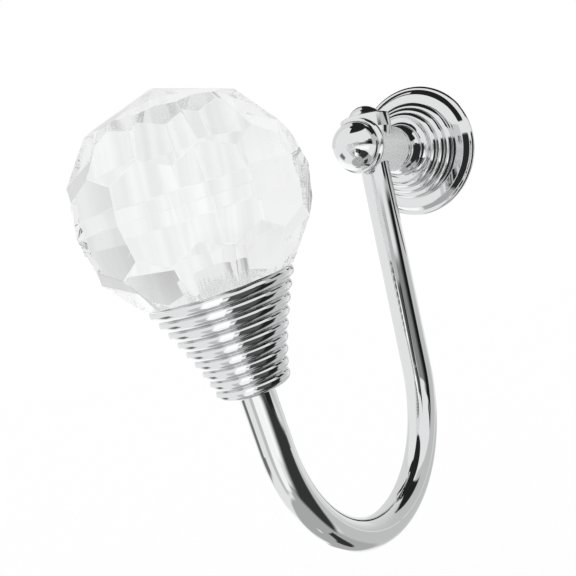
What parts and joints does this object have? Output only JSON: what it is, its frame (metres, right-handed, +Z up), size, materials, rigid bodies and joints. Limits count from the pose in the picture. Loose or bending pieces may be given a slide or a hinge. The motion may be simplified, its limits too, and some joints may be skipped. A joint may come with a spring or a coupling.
{
  "type": "curtain holdback",
  "caption": "Wall-mounted hook for tying back a curtain: a stepped round rose, a U-shaped bar in polished metal, and a faceted clear glass ball in a ribbed cup at its end.",
  "frame": {"origin": "centre of the rose's back face, on the wall, where the wall's fixing screws in", "axes": "+Z up, +Y into the wall, so the holdback stands out from the wall along -Y; X is along the wall"},
  "size_m": [0.0492, 0.1276, 0.1167],
  "materials": {
    "bright_plating": "mirror polished",
    "bar_plating": "mirror polished",
    "screw_plating": "bright, turned",
    "plain_steel": "plain zinc plated",
    "bush_plating": "plated, as turned",
    "clear_glass": "clear, cut and polished"
  },
  "bodies": {
    "root": {"wall_rose": "bright_plating", "joining_stud": "plain_steel", "hub": "bright_plating", "front_cap": "bright_plating", "rod_screw": "screw_plating", "hook_rod": "bar_plating", "ribbed_cup": "bright_plating", "ball_stud": "plain_steel", "ball_bush": "bush_plating", "crystal_ball": "clear_glass"}
  },
  "joints": []
}
